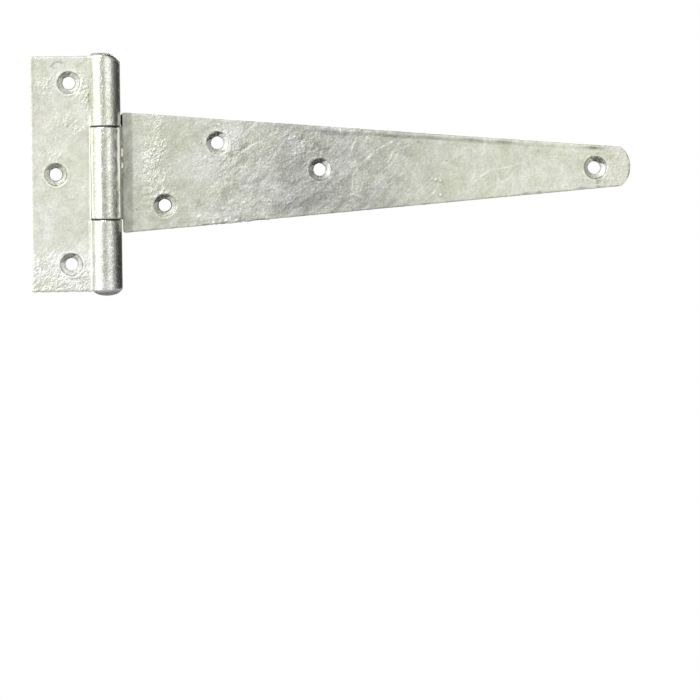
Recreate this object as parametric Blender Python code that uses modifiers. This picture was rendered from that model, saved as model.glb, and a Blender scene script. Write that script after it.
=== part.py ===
"""A heavy T hinge: a rectangular fixed leaf, a long tapered strap and the riveted pin that joins them.

Metres, +Z up. The pin's axis runs along Z at x = 0, y = -BARREL_R. Both leaves have their backs in the
plane y = 0 (the mounting plane) and all material lies in front of it, at y < 0. The fixed leaf reaches
to -X, the strap to +X. The world origin is on the mounting plane, right behind the pin, at mid height.
"""

import math

import bmesh
import bpy
from mathutils import Matrix, Vector

MM = 0.001

# plate and barrel
PLATE_T = 3.8 * MM  # both leaves are bent from the same plate
BARREL_R = 8.55 * MM  # outside of a rolled knuckle
BORE_R = BARREL_R - PLATE_T
AXIS_POINT = Vector((0.0, -BARREL_R, 0.0))

# the roll: its angles run from the mounting plane's side of the barrel towards the front
ROLL_SWEEP = math.radians(300.0)
ROLL_STEP = math.radians(7.5)  # one facet
HALF_STEP = ROLL_STEP / 2  # the first facet straddles x = 0, so the back stays flat there
ROLL_ANGLES = [HALF_STEP + ROLL_STEP * i for i in range(round(ROLL_SWEEP / ROLL_STEP))]

# heights along the pin
LEAF_HALF_H = 67.6 * MM
STRAP_KNUCKLE_HALF_H = 26.05 * MM
KNUCKLE_GAP = 0.5 * MM

# fixed leaf
LEAF_EDGE_X = -43.0 * MM
LEAF_HOLES = ((-20.9, 51.9), (-28.9, -0.5), (-20.5, -52.1))  # x, z in mm

# notch in the fixed leaf: it reaches further to -X in front of the plate than through it
NOTCH_HALF_H = STRAP_KNUCKLE_HALF_H + KNUCKLE_GAP
NOTCH_PLATE_X = -8.0 * MM
NOTCH_FRONT_X = -BARREL_R - 1.5 * MM
NOTCH_STEP_Y = -PLATE_T - 0.15 * MM

# barrel ends of the fixed leaf, where the outside of the roll closes in
BARREL_END_INSET = 1.5 * MM
BARREL_END_H = 3.0 * MM
BARREL_END_START = 35.0  # degrees round the roll where the closing-in begins
BARREL_END_BLEND = 40.0  # degrees over which it grows to its full size

# strap
STRAP_ROOT_X = 9.2 * MM
STRAP_TIP_X = 300.0 * MM
STRAP_CORNER_X = 294.7 * MM
STRAP_HALF_AT_AXIS = 35.38 * MM  # half width that the two straight edges would have at the pin
STRAP_TAPER = 0.08132  # half width lost per unit of length
STRAP_TIP_STEPS = 18
ROOT_CORNER_R = 1.6 * MM
ROOT_CORNER_STEPS = 5
TIP_CORNER_R = 1.05 * MM
TIP_CORNER_STEPS = 3
NECK_OVERLAP = 3.0 * MM  # how far the knuckle's neck reaches into the tapered plate
STRAP_HOLES = ((33.3, -18.9), (63.9, 16.5), (122.4, 0.4), (279.7, -0.5))  # x, z in mm

# screw holes, countersunk at 90 degrees from the front
HOLE_R = 3.45 * MM
SINK_R = 6.45 * MM
SINK_DEPTH = SINK_R - HOLE_R
HOLE_STEPS = 48
CUT_PAST = 1.0 * MM  # how far a hole's cutter passes both faces of the plate

# pin
PIN_R = BORE_R - 0.1 * MM  # play all round in the knuckles
PIN_STEPS = 64
HEAD_GAP = 0.2 * MM  # between a head and the end of its knuckle
HEAD_RIM_H = 0.25 * MM  # slanted rim of both heads, next to the knuckle
HEAD_RIM_INSET = 0.15 * MM
TOP_HEAD_H = 0.8 * MM
TOP_HEAD_R = 7.0 * MM
TOP_FLAT_R = 4.6 * MM
TOP_HEAD_STEPS = 7
DOME_H = 2.1 * MM
DOME_R = 7.0 * MM
DOME_STEPS = 9

# small roundings
EDGE_R = 0.45 * MM
EDGE_SEGMENTS = 3
KNUCKLE_EDGE_R = 0.3 * MM
KNUCKLE_EDGE_SEGMENTS = 2
LOFT_END_STEPS = 4
BEVEL_ANGLE = math.radians(50)  # only sharper edges are bevelled
SHARP_ANGLE = math.radians(30)  # edges beyond this are shaded sharp
MERGE_DISTANCE = 0.01 * MM

VIEWPORT_METALLIC = 0.6


# scene, materials and shared helpers


def clear_scene():
    for obj in list(bpy.data.objects):
        bpy.data.objects.remove(obj, do_unlink=True)
    for block in (bpy.data.meshes, bpy.data.materials, bpy.data.curves):
        for item in list(block):
            if item.users == 0:
                block.remove(item)


def new_collection(name):
    collection = bpy.data.collections.new(name)
    bpy.context.scene.collection.children.link(collection)
    return collection


def metal(name, color, roughness):
    material = bpy.data.materials.new(name)
    material.use_nodes = True
    shader = material.node_tree.nodes["Principled BSDF"]
    shader.inputs["Base Color"].default_value = (*color, 1.0)
    shader.inputs["Metallic"].default_value = 1.0
    shader.inputs["Roughness"].default_value = roughness
    material.diffuse_color = (*color, 1.0)
    material.metallic = VIEWPORT_METALLIC
    material.roughness = roughness
    return material


def link_object(name, mesh, collection, material=None):
    obj = bpy.data.objects.new(name, mesh)
    collection.objects.link(obj)
    if material:
        mesh.materials.append(material)
    return obj


def object_of(bm, name, collection, material=None, smooth=True):
    """Turn a bmesh into an object and free it."""
    bmesh.ops.recalc_face_normals(bm, faces=bm.faces[:])
    mesh = bpy.data.meshes.new(name)
    bm.to_mesh(mesh)
    bm.free()
    if smooth:
        mesh.shade_smooth()
        mesh.set_sharp_from_angle(angle=SHARP_ANGLE)
    return link_object(name, mesh, collection, material)


def as_cutter(obj):
    """Mark a boolean operand as a helper."""
    obj.hide_render = True
    obj.display_type = "WIRE"
    return obj


def add_boolean(obj, other, operation):
    boolean = obj.modifiers.new(f"{operation.lower()}_{other.name}", "BOOLEAN")
    boolean.operation = operation
    boolean.solver = "EXACT"
    boolean.object = other


def add_edge_round(obj, width, segments):
    bevel = obj.modifiers.new("edge_round", "BEVEL")
    bevel.width = width
    bevel.segments = segments
    bevel.limit_method = "ANGLE"
    bevel.angle_limit = BEVEL_ANGLE


def move_extruded(bm, extruded, offset):
    """Move the vertices that an extrude operator has made."""
    moved = [v for v in extruded["geom"] if isinstance(v, bmesh.types.BMVert)]
    bmesh.ops.translate(bm, vec=offset, verts=moved)


def prism(name, base, offset, collection, smooth):
    """A straight prism from a flat base of 3D points to the same base moved by offset."""
    bm = bmesh.new()
    face = bm.faces.new([bm.verts.new(point) for point in base])
    extruded = bmesh.ops.extrude_face_region(bm, geom=[face])
    move_extruded(bm, extruded, offset)
    return object_of(bm, name, collection, smooth=smooth)


def turned(name, profile, steps, collection, material=None):
    """A profile of (radius, z), running down its outer side, turned about Z."""
    mesh = bpy.data.meshes.new(name)
    points = [(radius, 0.0, z) for radius, z in profile]
    mesh.from_pydata(points, [(i, i + 1) for i in range(len(points) - 1)], [])
    obj = link_object(name, mesh, collection, material)
    screw = obj.modifiers.new("turned", "SCREW")
    screw.axis = "Z"
    screw.angle = 2 * math.pi
    screw.steps = steps
    screw.render_steps = steps
    screw.use_merge_vertices = True
    screw.merge_threshold = MERGE_DISTANCE
    screw.use_smooth_shade = True
    return obj


def quarter_angles(steps):
    """Angles from 0 to 90 degrees, both included."""
    return [math.pi / 2 * i / steps for i in range(steps + 1)]


def rounded(corner, before, after, radius, steps):
    """The points of an arc that rounds a corner between two neighbours."""
    corner = Vector(corner)
    to_before = (Vector(before) - corner).normalized()
    to_after = (Vector(after) - corner).normalized()
    half_angle = math.acos(max(-1.0, min(1.0, to_before.dot(to_after)))) / 2
    reach = radius / math.tan(half_angle)
    centre = corner + (to_before + to_after).normalized() * (radius / math.sin(half_angle))
    start = corner + to_before * reach - centre
    end = corner + to_after * reach - centre
    turn = -start.angle_signed(end)  # angle_signed counts clockwise, Matrix.Rotation the other way
    return [
        tuple(centre + Matrix.Rotation(turn * i / steps, 2) @ start) for i in range(steps + 1)
    ]


def cut_screw_holes(leaf, name, holes, collection):
    """Cut countersunk holes; each cutter is turned, then laid along -Y, its wide end to the front."""
    front = PLATE_T + CUT_PAST
    profile = (
        (0.0, front),
        (SINK_R + CUT_PAST, front),
        (HOLE_R, PLATE_T - SINK_DEPTH),
        (HOLE_R, -CUT_PAST),
        (0.0, -CUT_PAST),
    )
    for number, (x, z) in enumerate(holes, 1):
        cutter = as_cutter(turned(f"{name}_{number}", profile, HOLE_STEPS, collection))
        cutter.rotation_euler = (math.radians(90), 0.0, 0.0)
        cutter.location = (x * MM, 0.0, z * MM)
        add_boolean(leaf, cutter, "DIFFERENCE")


# fixed leaf


def leaf_outline():
    """The closed outline, seen along Z, of the plate from LEAF_EDGE_X with its roll round the pin.

    Each point is (x, y, normal x, normal y, share), where share is 1 on the outside of the free part
    of the roll and 0 on the plate and in the bore.
    """
    outer_r = BARREL_R / math.cos(HALF_STEP)
    inner_r = BORE_R / math.cos(HALF_STEP)
    outer, inner = [], []
    for angle in ROLL_ANGLES:
        nx, ny = math.sin(angle), math.cos(angle)
        share = (math.degrees(angle) - BARREL_END_START) / BARREL_END_BLEND
        share = min(1.0, max(0.0, share))
        outer.append((outer_r * nx, -BARREL_R + outer_r * ny, nx, ny, share))
        inner.append((inner_r * nx, -BARREL_R + inner_r * ny, -nx, -ny, 0.0))
    # the last point of each side is a corner: its normal also leans out of the roll's end face
    lean_x, lean_y = math.cos(ROLL_ANGLES[-1]), -math.sin(ROLL_ANGLES[-1])
    for side in (outer, inner):
        x, y, nx, ny, share = side[-1]
        side[-1] = (x, y, nx + lean_x, ny + lean_y, share)
    back = (LEAF_EDGE_X, 0.0, -1.0, 1.0, 0.0)
    front = (LEAF_EDGE_X, -PLATE_T, -1.0, -1.0, 0.0)
    return [back] + outer + inner[::-1] + [front]


def rolled_leaf(collection, material):
    """The fixed leaf's plate, rolled round the pin over its whole height.

    It is a loft along Z, because its ends are unlike its middle: the plate's edges are only eased,
    while the outside of the roll closes in by BARREL_END_INSET.
    """
    outline = leaf_outline()
    angles = quarter_angles(LOFT_END_STEPS)
    levels = [(-1.0, a) for a in angles[::-1]] + [(1.0, a) for a in angles]
    bm = bmesh.new()
    rings = []
    for side, angle in levels:
        ring = []
        for x, y, nx, ny, share in outline:
            full_inset = EDGE_R * (1 - share) + BARREL_END_INSET * share
            drop = EDGE_R * (1 - share) + BARREL_END_H * share
            inset = full_inset * (1 - math.cos(angle))
            z = side * (LEAF_HALF_H - drop * (1 - math.sin(angle)))
            ring.append(bm.verts.new((x - nx * inset, y - ny * inset, z)))
        rings.append(ring)
    count = len(outline)
    for low, high in zip(rings, rings[1:]):
        for i in range(count):
            j = (i + 1) % count
            bm.faces.new((low[i], low[j], high[j], high[i]))
    bm.faces.new(rings[0][::-1])
    bm.faces.new(rings[-1])
    return object_of(bm, "fixed_leaf", collection, material)


def build_fixed_leaf(parts, cutters, material):
    """The rolled plate, with its middle cut away for the strap's knuckle."""
    leaf = rolled_leaf(parts, material)
    # these only have to clear the barrel
    back_y, front_y, far_x = BARREL_R, -3 * BARREL_R, 2 * BARREL_R
    notch_outline = (
        (NOTCH_PLATE_X, back_y),
        (far_x, back_y),
        (far_x, front_y),
        (NOTCH_FRONT_X, front_y),
        (NOTCH_FRONT_X, NOTCH_STEP_Y),
        (NOTCH_PLATE_X, NOTCH_STEP_Y),
    )
    base = [(x, y, -NOTCH_HALF_H) for x, y in notch_outline]
    height = (0.0, 0.0, 2 * NOTCH_HALF_H)
    notch = as_cutter(prism("cut_leaf_notch", base, height, cutters, smooth=False))
    add_boolean(leaf, notch, "DIFFERENCE")
    cut_screw_holes(leaf, "cut_leaf_hole", LEAF_HOLES, cutters)


# strap


def rolled_knuckle(collection, material):
    """The strap's knuckle with its neck: the plate's middle surface, coming from +X, made solid."""
    middle_r = (BARREL_R - PLATE_T / 2) / math.cos(HALF_STEP)
    line = [(STRAP_ROOT_X + NECK_OVERLAP, -PLATE_T / 2)]
    line += [(-middle_r * math.sin(a), -BARREL_R + middle_r * math.cos(a)) for a in ROLL_ANGLES]
    bm = bmesh.new()
    low = [bm.verts.new((x, y, -STRAP_KNUCKLE_HALF_H)) for x, y in line]
    edges = [bm.edges.new(pair) for pair in zip(low, low[1:])]
    extruded = bmesh.ops.extrude_edge_only(bm, edges=edges)
    move_extruded(bm, extruded, (0.0, 0.0, 2 * STRAP_KNUCKLE_HALF_H))
    obj = object_of(bm, "strap_leaf", collection, material)
    solid = obj.modifiers.new("plate_thickness", "SOLIDIFY")
    solid.thickness = PLATE_T
    solid.offset = 0.0
    solid.use_even_offset = True
    add_edge_round(obj, KNUCKLE_EDGE_R, KNUCKLE_EDGE_SEGMENTS)
    return obj


def strap_half_width(x):
    return STRAP_HALF_AT_AXIS - STRAP_TAPER * x


def strap_outline():
    """The strap's plate seen from the front, as (x, z), without the knuckle."""
    # the tip is an arc through both corners and the middle of the end
    corner_h = strap_half_width(STRAP_CORNER_X)
    rise = STRAP_TIP_X - STRAP_CORNER_X
    tip_r = (corner_h**2 + rise**2) / (2 * rise)
    centre_x = STRAP_TIP_X - tip_r
    reach = math.asin(corner_h / tip_r)
    tip = []
    for i in range(STRAP_TIP_STEPS + 1):
        angle = -reach + 2 * reach * i / STRAP_TIP_STEPS
        tip.append((centre_x + tip_r * math.cos(angle), tip_r * math.sin(angle)))
    root_h = strap_half_width(STRAP_ROOT_X)
    low_root, high_root = (STRAP_ROOT_X, -root_h), (STRAP_ROOT_X, root_h)
    return [
        *rounded(low_root, high_root, tip[0], ROOT_CORNER_R, ROOT_CORNER_STEPS),
        *rounded(tip[0], low_root, tip[1], TIP_CORNER_R, TIP_CORNER_STEPS),
        *tip[2:-2],
        *rounded(tip[-1], tip[-2], high_root, TIP_CORNER_R, TIP_CORNER_STEPS),
        *rounded(high_root, tip[-1], low_root, ROOT_CORNER_R, ROOT_CORNER_STEPS),
    ]


def build_strap(parts, cutters, material):
    """The knuckle and its neck, joined to the long tapered plate."""
    strap = rolled_knuckle(parts, material)
    base = [(x, 0.0, z) for x, z in strap_outline()]
    thickness = (0.0, -PLATE_T, 0.0)
    plate = as_cutter(prism("join_strap_plate", base, thickness, cutters, smooth=True))
    add_edge_round(plate, EDGE_R, EDGE_SEGMENTS)
    add_boolean(strap, plate, "UNION")
    cut_screw_holes(strap, "cut_strap_hole", STRAP_HOLES, cutters)
    # the strap turns about the pin, so its origin lies on the pin's axis
    strap.data.transform(Matrix.Translation(-AXIS_POINT))
    strap.location = AXIS_POINT


# pin


def pin_profile():
    """Half of the pin's section, as (radius, z) from the top of its axis down to the bottom."""
    end = LEAF_HALF_H + HEAD_GAP
    rim = end + HEAD_RIM_H
    points = [(0.0, end + TOP_HEAD_H), (TOP_FLAT_R, end + TOP_HEAD_H)]
    for angle in quarter_angles(TOP_HEAD_STEPS)[1:]:
        radius = TOP_FLAT_R + (TOP_HEAD_R - TOP_FLAT_R) * math.sin(angle)
        points.append((radius, rim + (TOP_HEAD_H - HEAD_RIM_H) * math.cos(angle)))
    points += [
        (TOP_HEAD_R - HEAD_RIM_INSET, end),
        (PIN_R, end),
        (PIN_R, -end),
        (DOME_R - HEAD_RIM_INSET, -end),
        (DOME_R, -rim),
    ]
    for angle in quarter_angles(DOME_STEPS)[1:-1]:
        z = -rim - (DOME_H - HEAD_RIM_H) * math.sin(angle)
        points.append((DOME_R * math.cos(angle), z))
    points.append((0.0, -end - DOME_H))
    return points


def build_pin(parts, material):
    pin = turned("hinge_pin", pin_profile(), PIN_STEPS, parts, material)
    pin.location = AXIS_POINT


def main():
    clear_scene()
    parts = new_collection("t_hinge")
    cutters = new_collection("t_hinge_cutters")
    cutters.hide_render = True

    leaf_metal = metal("zinc_leaf", color=(0.70, 0.71, 0.67), roughness=0.45)
    strap_metal = metal("zinc_strap", color=(0.64, 0.65, 0.61), roughness=0.42)
    pin_metal = metal("zinc_pin", color=(0.58, 0.58, 0.55), roughness=0.40)

    build_fixed_leaf(parts, cutters, leaf_metal)
    build_strap(parts, cutters, strap_metal)
    build_pin(parts, pin_metal)


main()
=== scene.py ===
"""Looks for the T hinge: hot-dip zinc skins over the three CAD pieces, plain studio light and camera."""

import math

import bmesh
import bpy
import numpy as np
from mathutils import Matrix, Vector


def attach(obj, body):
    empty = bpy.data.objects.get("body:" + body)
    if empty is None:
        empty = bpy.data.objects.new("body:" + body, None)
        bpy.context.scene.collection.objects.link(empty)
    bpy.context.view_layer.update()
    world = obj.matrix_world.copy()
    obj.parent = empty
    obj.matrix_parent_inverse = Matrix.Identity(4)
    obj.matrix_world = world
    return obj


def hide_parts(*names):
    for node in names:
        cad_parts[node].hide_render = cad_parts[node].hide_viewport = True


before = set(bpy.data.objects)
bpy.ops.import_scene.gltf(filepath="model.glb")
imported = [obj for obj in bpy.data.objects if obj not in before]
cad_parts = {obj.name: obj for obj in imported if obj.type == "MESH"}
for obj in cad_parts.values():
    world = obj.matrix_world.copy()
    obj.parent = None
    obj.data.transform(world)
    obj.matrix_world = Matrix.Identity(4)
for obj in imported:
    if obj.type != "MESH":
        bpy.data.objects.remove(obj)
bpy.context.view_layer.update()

MM = 0.001
BARREL_R = 8.55
PLATE_T = 3.8
LEAF_HALF_H = 67.6
LEAF_EDGE_X = -43.0
STRAP_KNUCKLE_HALF = 26.05
LEAF_HOLES = ((-20.9, 51.9), (-28.9, -0.5), (-20.5, -52.1))
STRAP_HOLES = ((33.3, -18.9), (63.9, 16.5), (122.4, 0.4), (279.7, -0.5))
HOLE_R = 3.45
SINK_R = 6.45
TOP_Z = 68.2  # the hammered ends of the pin
LOW_Z = -69.9


def strap_half(x):
    return 35.38 - 0.08132 * x


# ---------------------------------------------------------------- noise, in numpy


def lattice(ix, iy, iz, seed):
    """Three numbers from -1 to 1 for each lattice point."""
    with np.errstate(over="ignore"):
        h = (
            ix.astype(np.uint32) * np.uint32(374761393)
            + iy.astype(np.uint32) * np.uint32(668265263)
            + iz.astype(np.uint32) * np.uint32(2246822519)
            + np.uint32((seed * 3266489917) & 0xFFFFFFFF)
        )
        h = (h ^ (h >> np.uint32(15))) * np.uint32(2246822519)
        h = (h ^ (h >> np.uint32(13))) * np.uint32(3266489917)
        h = h ^ (h >> np.uint32(16))
    return (
        (h & np.uint32(1023)) / 511.5 - 1.0,
        ((h >> np.uint32(10)) & np.uint32(1023)) / 511.5 - 1.0,
        ((h >> np.uint32(20)) & np.uint32(1023)) / 511.5 - 1.0,
    )


def noise(p, size, seed=0, stretch=(1.0, 1.0, 1.0)):
    """Gradient noise from about -1 to 1, with features of this size in mm."""
    q = p / (size * np.asarray(stretch))
    i = np.floor(q).astype(np.int64)
    f = q - i
    w = f * f * f * (f * (f * 6 - 15) + 10)
    total = np.zeros(len(p))
    for dx in (0, 1):
        for dy in (0, 1):
            for dz in (0, 1):
                gx, gy, gz = lattice(i[:, 0] + dx, i[:, 1] + dy, i[:, 2] + dz, seed)
                dot = gx * (f[:, 0] - dx) + gy * (f[:, 1] - dy) + gz * (f[:, 2] - dz)
                wx = w[:, 0] if dx else 1 - w[:, 0]
                wy = w[:, 1] if dy else 1 - w[:, 1]
                wz = w[:, 2] if dz else 1 - w[:, 2]
                total += dot * wx * wy * wz
    return total * 1.3


def fbm(p, size, octaves, seed=0, stretch=(1.0, 1.0, 1.0)):
    total, weight = np.zeros(len(p)), 1.0
    for k in range(octaves):
        total += weight * noise(p, size / 2**k, seed + 17 * k, stretch)
        weight *= 0.5
    return total


def step(a, b, x):
    t = np.clip((x - a) / (b - a), 0.0, 1.0)
    return t * t * (3 - 2 * t)


def spot(x, z, cx, cz, rx, rz=None, turn=0.0):
    """1 at the middle of a soft ellipse, 0 well outside it."""
    rz = rx if rz is None else rz
    c, s = math.cos(math.radians(turn)), math.sin(math.radians(turn))
    u, v = (x - cx) * c + (z - cz) * s, -(x - cx) * s + (z - cz) * c
    return np.exp(-((u / rx) ** 2 + (v / rz) ** 2))


def turned_about_y(p, degrees):
    """The points turned in the plane of the leaves, so that stretched noise runs along a slant."""
    c, s = math.cos(math.radians(degrees)), math.sin(math.radians(degrees))
    out = p.copy()
    out[:, 0] = p[:, 0] * c + p[:, 2] * s
    out[:, 2] = -p[:, 0] * s + p[:, 2] * c
    return out


# ---------------------------------------------------------------- meshes


def arrays(mesh):
    p = np.empty(len(mesh.vertices) * 3)
    mesh.vertices.foreach_get("co", p)
    e = np.empty(len(mesh.edges) * 2, np.int64)
    mesh.edges.foreach_get("vertices", e)
    return p.reshape(-1, 3) * 1000, e.reshape(-1, 2)


def put(mesh, p):
    mesh.vertices.foreach_set("co", (p / 1000).astype(np.float32).ravel())
    mesh.update()


def normals(mesh):
    n = np.empty(len(mesh.vertices) * 3)
    mesh.vertex_normals.foreach_get("vector", n)
    return n.reshape(-1, 3)


def relax(p, e, rounds, share=0.5, back=-0.52):
    """Taubin smoothing: it takes the voxel steps out and keeps the volume."""
    count = np.bincount(e.ravel(), minlength=len(p)).astype(float)[:, None]
    for k in range(2 * rounds):
        total = np.zeros_like(p)
        for axis in range(3):
            total[:, axis] = np.bincount(
                e[:, 0], weights=p[e[:, 1], axis], minlength=len(p)
            ) + np.bincount(e[:, 1], weights=p[e[:, 0], axis], minlength=len(p))
        p = p + (share if k % 2 == 0 else back) * (total / count - p)
    return p


def skin(node, name, voxel_mm, rounds, blobs=()):
    """A fine even mesh over a CAD node, ready for the zinc to be raised on it.

    blobs are drops of zinc, each a middle and three half sizes in mm, that are fused on.
    """
    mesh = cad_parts[node].data.copy()
    mesh.materials.clear()
    bm = bmesh.new()
    bm.from_mesh(mesh)
    bmesh.ops.remove_doubles(bm, verts=bm.verts[:], dist=2e-6)
    for middle, half in blobs:
        place = Matrix.Translation(Vector(middle) * MM) @ Matrix.Diagonal((*half, 1.0))
        bmesh.ops.create_icosphere(bm, subdivisions=3, radius=MM, matrix=place)
    bm.to_mesh(mesh)
    bm.free()
    raw = bpy.data.objects.new(name + "_raw", mesh)
    bpy.context.scene.collection.objects.link(raw)
    mod = raw.modifiers.new("voxels", "REMESH")
    mod.mode = "VOXEL"
    mod.voxel_size = voxel_mm * MM
    mod.adaptivity = 0.0
    bpy.context.view_layer.update()
    graph = bpy.context.evaluated_depsgraph_get()
    made = bpy.data.meshes.new_from_object(raw.evaluated_get(graph))
    made.name = name
    bpy.data.objects.remove(raw, do_unlink=True)
    obj = bpy.data.objects.new(name, made)
    bpy.context.scene.collection.objects.link(obj)
    p, e = arrays(made)
    p = relax(p, e, rounds)
    put(made, p)
    return obj, p, e


def true_round(p, skip_ends=None):
    """The outside of the rolled knuckles is a true cylinder, not the CAD's facets."""
    dx, dy = p[:, 0], p[:, 1] + BARREL_R
    r = np.hypot(dx, dy)
    on = np.abs(r - BARREL_R) < 0.16
    if skip_ends is not None:
        on &= skip_ends
    q = p.copy()
    q[on, 0] = dx[on] * BARREL_R / r[on]
    q[on, 1] = dy[on] * BARREL_R / r[on] - BARREL_R
    return q


def drops(p, n, rng, count, centre, spread, radius, height, lean=60.0):
    """Beads of zinc scattered over a patch of the front face, each a little longer one way."""
    add = np.zeros(len(p))
    cx, cz = rng.normal(centre[0], spread[0], count), rng.normal(centre[1], spread[1], count)
    for x, z in zip(cx, cz):
        r = radius * rng.uniform(0.7, 1.4)
        h = height * rng.uniform(0.4, 1.0)
        turn = rng.normal(lean, 25)
        near = (np.abs(p[:, 0] - x) < 4 * r) & (np.abs(p[:, 2] - z) < 4 * r)
        add[near] += h * spot(p[near, 0], p[near, 2], x, z, r * rng.uniform(1.1, 1.8), r * 0.75, turn)
    return add * np.clip(-n[:, 1], 0, 1)


def line(p, points, width):
    """1 along a drawn line of (x, z) points, falling to 0 within about its width."""
    best = np.full(len(p), 1e9)
    for (ax, az), (bx, bz) in zip(points, points[1:]):
        ux, uz = bx - ax, bz - az
        t = ((p[:, 0] - ax) * ux + (p[:, 2] - az) * uz) / (ux * ux + uz * uz)
        t = np.clip(t, 0, 1)
        d = (p[:, 0] - ax - t * ux) ** 2 + (p[:, 2] - az - t * uz) ** 2
        best = np.minimum(best, d)
    return np.exp(-best / width**2)


def runs(p, n, rng, count, low, high, lengths, lean, width):
    """Thin slanting streaks where the zinc ran, as one height from 0 to 1."""
    top = np.zeros(len(p))
    for _ in range(count):
        x, z = rng.uniform(low[0], high[0]), rng.uniform(low[1], high[1])
        a = math.radians(rng.normal(lean, 14))
        bend = rng.normal(0, 0.35)
        length = rng.uniform(*lengths)
        points = [(x, z)]
        for _ in range(3):
            points.append(
                (points[-1][0] + math.cos(a) * length / 3, points[-1][1] + math.sin(a) * length / 3)
            )
            a += bend
        w = width * rng.uniform(0.7, 1.3)
        near = (np.abs(p[:, 0] - x) < length + 3) & (np.abs(p[:, 2] - z) < length + 3)
        top[near] = np.maximum(top[near], rng.uniform(0.4, 1.0) * line(p[near], points, w))
    return top * np.clip(-n[:, 1], 0, 1)


def lumps(p, size, seed, lean=60.0, stretch=1.7):
    """Separate mounds of zinc, 0 between them."""
    q = turned_about_y(p, lean)
    return np.clip(fbm(q, size, 2, seed, (stretch, 1, 1)) + 0.05, 0, 1.2) ** 1.25


def sinks(p, n, holes, rng):
    """(height, shade, dullness) round the screw holes: an uneven ring of zinc outside each countersink, painted shade
    along each bowl's rim, and painted light and shade on its wall.
    """
    add, shade, dull = np.zeros(len(p)), np.ones(len(p)), np.zeros(len(p))
    front = np.clip(-n[:, 1], 0, 1)
    sunk = step(-0.35, -0.8, p[:, 1])
    for cx, cz in holes:
        dx, dz = p[:, 0] - cx, p[:, 2] - cz
        r, a = np.hypot(dx, dz), np.arctan2(dz, dx)
        near = r < 11
        one, two, three = rng.uniform(0, 6.3, 3)
        wave = 0.5 + 0.5 * np.sin(2 * a + one) * np.sin(3 * a + two)
        upper = 0.5 + 0.5 * np.cos(a - math.radians(118 + 10 * math.sin(three)))
        lit = 0.5 + 0.5 * np.cos(a + math.radians(35))
        wobble = 0.25 * np.sin(2 * a + three) + 0.15 * np.sin(5 * a + one)
        ring = np.exp(-(((r - SINK_R - 0.75 + wobble) / 0.75) ** 2))
        add += np.where(near, 0.22 * (0.3 + wave) * ring * front, 0)
        rim = np.exp(-(((r - SINK_R + 0.05 + wobble) / 0.38) ** 2)) * (0.62 + 0.38 * wave)
        wall = step(SINK_R + 0.2, SINK_R - 0.5, r) * step(2.6, 3.0, r)
        grit = fbm(p, 1.9, 2, 301)
        add += np.where(near, 0.10 * wall * grit * step(3.6, 4.4, r), 0)
        # painted shade along the rim; the wall painted lighter on the upper left, away from the light, and darker on
        # the lower right, where it falls, with random grit; the raised ring outside painted a little lighter
        mine = (
            (1 - 0.22 * rim)
            * (1 + wall * (0.26 - 0.34 * lit - 0.08 * upper**2))
            * (1 + 0.20 * wall * np.clip(grit, -1, 1))
        )
        mine += 0.12 * ring * wave
        shade = np.where(near, shade * (1 + (mine - 1) * sunk), shade)
        dull = np.where(near, np.maximum(dull, 0.9 * wall * sunk), dull)
    return add, shade, dull


def coarse(p):
    """The slow unevenness of thick zinc, everywhere."""
    return 0.08 * fbm(p, 17.0, 2, 3) + 0.06 * fbm(p, 6.0, 2, 9)


def end_radius(z, right):
    """How wide the barrel and the pin's head together are at height z, near the two hammered ends.

    right is 1 on the side away from the fixed leaf and -1 towards it: the free side is beaten rounder.
    """
    z0 = -65.2 - 0.6 * (1 - right)
    low = BARREL_R * np.sqrt(np.clip(1 - np.clip((z0 - z) / (z0 - LOW_Z), 0, 1) ** 2, 0, 1))
    rho = 3.5 + 2.1 * right
    up = np.clip(z - (TOP_Z - rho), 0, rho)
    high = BARREL_R - rho + np.sqrt(np.clip(rho**2 - up**2, 0, None))
    return np.where(z > 0, high, low)


def hammered_knuckle(p):
    """Reshapes the free ends of the fixed leaf's barrel so that each runs on into the pin's head."""
    dx, dy, z = p[:, 0], p[:, 1] + BARREL_R, p[:, 2]
    r = np.maximum(np.hypot(dx, dy), 1e-6)
    turn = np.degrees(np.arctan2(dx, dy)) % 360
    sin_a = np.clip(1 - (LEAF_HALF_H - np.abs(z)) / 3.0, 0, 1)
    now = BARREL_R - 1.5 * (1 - np.sqrt(1 - sin_a**2))
    want = end_radius(z - 0.40 * step(57, 67, z), dx / r)
    part = step(40, 75, turn) * (turn < 303) * (np.abs(z) > 60) * (r > 4.8) * (r < 8.9)
    new = 4.75 + (r - 4.75) * (want - 4.75) / (now - 4.75)
    new = r + (new - r) * part
    q = p.copy()
    q[:, 0], q[:, 1] = dx * new / r, dy * new / r - BARREL_R
    q[:, 2] -= 0.40 * step(57, 67, z)  # the upper edge sits a little low
    return q


def filled_corner(p):
    """Zinc fills the sharp corner between the fixed leaf's front and the barrel, more so towards the foot."""
    x, y, z = p.T
    on = (x < -7.0) & (x > -13.0) & (y > -4.3) & (y < -3.3)
    reach = np.exp(-((np.clip(-8.5 - x, 0, None) / 1.05) ** 2))
    amount = (0.10 + 0.90 * step(40, 12, z)) * (2.7 + 0.7 * noise(p, 6.0, 61)) * reach
    keep_r = np.where(np.abs(z) < 27.4, 9.05, 8.62)
    wall = -BARREL_R + np.sqrt(np.clip(keep_r**2 - x**2, 0, None))
    deep = np.where(np.abs(x) < keep_r, np.maximum(y - amount, np.minimum(y, wall)), y - amount)
    q = p.copy()
    q[on, 1] = deep[on]
    return q


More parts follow.
